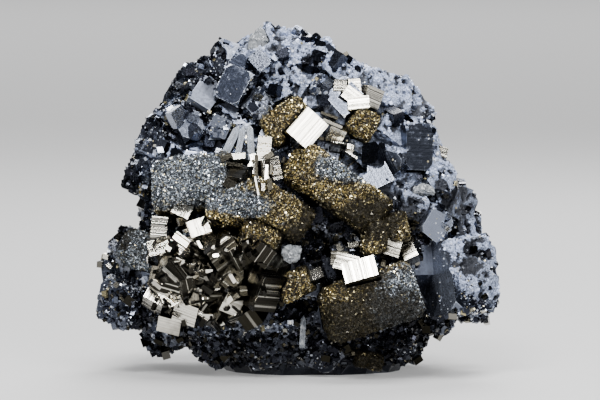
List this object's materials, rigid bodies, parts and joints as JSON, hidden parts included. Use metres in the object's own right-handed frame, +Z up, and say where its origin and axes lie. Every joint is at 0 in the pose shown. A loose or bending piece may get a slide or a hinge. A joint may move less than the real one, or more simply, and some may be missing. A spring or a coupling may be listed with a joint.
{
  "type": "mineral specimen",
  "caption": "Mound of blue-grey galena crystals carrying grain-crusted chalcopyrite blocks, bright striated pyrite cubes and a few quartz prisms, on a flat foot.",
  "frame": {"origin": "on the flat foot, under the middle of the specimen", "axes": "+Z up, +X along the width to the right as seen from the front, -Y towards the viewer, where the showy side faces"},
  "size_m": [0.121, 0.091, 0.1051],
  "materials": {
    "galena": "blue-grey metallic cleavage faces under a pale granular crust",
    "chalcopyrite": "brassy metallic, coated with fine gold, brown and grey grains",
    "pyrite": "bright pale-gold metallic faces with fine parallel grooves",
    "quartz": "glassy, milky and pale blue"
  },
  "bodies": {
    "root": {"chalcopyrite_back": "chalcopyrite", "chalcopyrite_back_upper": "chalcopyrite", "chalcopyrite_centre": "chalcopyrite", "chalcopyrite_foot": "chalcopyrite", "chalcopyrite_left": "chalcopyrite", "chalcopyrite_low_centre": "chalcopyrite", "chalcopyrite_low_left": "chalcopyrite", "chalcopyrite_low_right": "chalcopyrite", "chalcopyrite_mid_left": "chalcopyrite", "chalcopyrite_right": "chalcopyrite", "chalcopyrite_upper": "chalcopyrite", "chalcopyrite_upper_right": "chalcopyrite", "galena_mass": "galena", "pyrite_back": "pyrite", "pyrite_back_low": "pyrite", "pyrite_bow": "pyrite", "pyrite_centre": "pyrite", "pyrite_dark_cube": "pyrite", "pyrite_dull_cube": "pyrite", "pyrite_heap": "pyrite", "pyrite_low_right": "pyrite", "pyrite_plates": "pyrite", "pyrite_right_plate": "pyrite", "pyrite_right_speck": "pyrite", "pyrite_right_wedge": "pyrite", "pyrite_side": "pyrite", "pyrite_sliver": "pyrite", "pyrite_striped": "pyrite", "pyrite_upper_right": "pyrite", "quartz_flake_right": "quartz", "quartz_lump_back": "quartz", "quartz_lump_centre": "quartz", "quartz_peak": "quartz", "quartz_prism_left": "quartz", "quartz_prism_low": "quartz", "quartz_prism_middle": "quartz", "quartz_prism_right": "quartz"}
  },
  "joints": []
}
